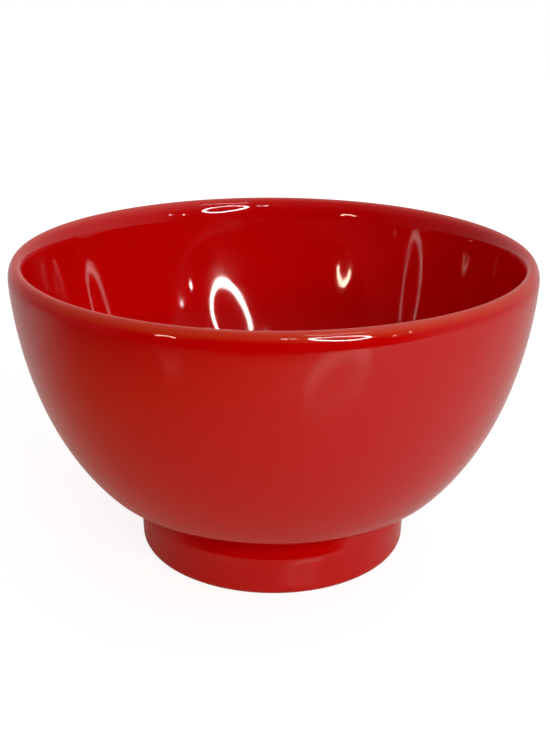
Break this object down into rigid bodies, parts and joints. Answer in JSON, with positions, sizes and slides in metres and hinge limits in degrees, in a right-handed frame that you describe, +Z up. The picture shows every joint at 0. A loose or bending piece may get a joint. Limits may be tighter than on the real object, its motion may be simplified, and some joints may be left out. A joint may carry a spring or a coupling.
{
  "type": "cereal bowl",
  "caption": "Footed cereal bowl: rounded lip, deep belly that turns under to a narrow waist, and a banded foot ring that is hollow underneath.",
  "frame": {"origin": "centre of the foot ring's standing face, on the surface that the bowl rests on", "axes": "+Z up along the bowl's axis of symmetry, towards its open mouth; X and Y level, and alike because the bowl is round"},
  "size_m": [0.15, 0.15, 0.0896],
  "materials": {
    "fired_clay": "bare fired earthenware, matt, seen only on the face that the bowl stands on",
    "red_glaze": "opaque bright red glaze, high gloss"
  },
  "bodies": {
    "root": {"clay_body": "fired_clay", "inner_glaze": "red_glaze", "outer_glaze": "red_glaze", "foot_well_glaze": "red_glaze"}
  },
  "joints": []
}
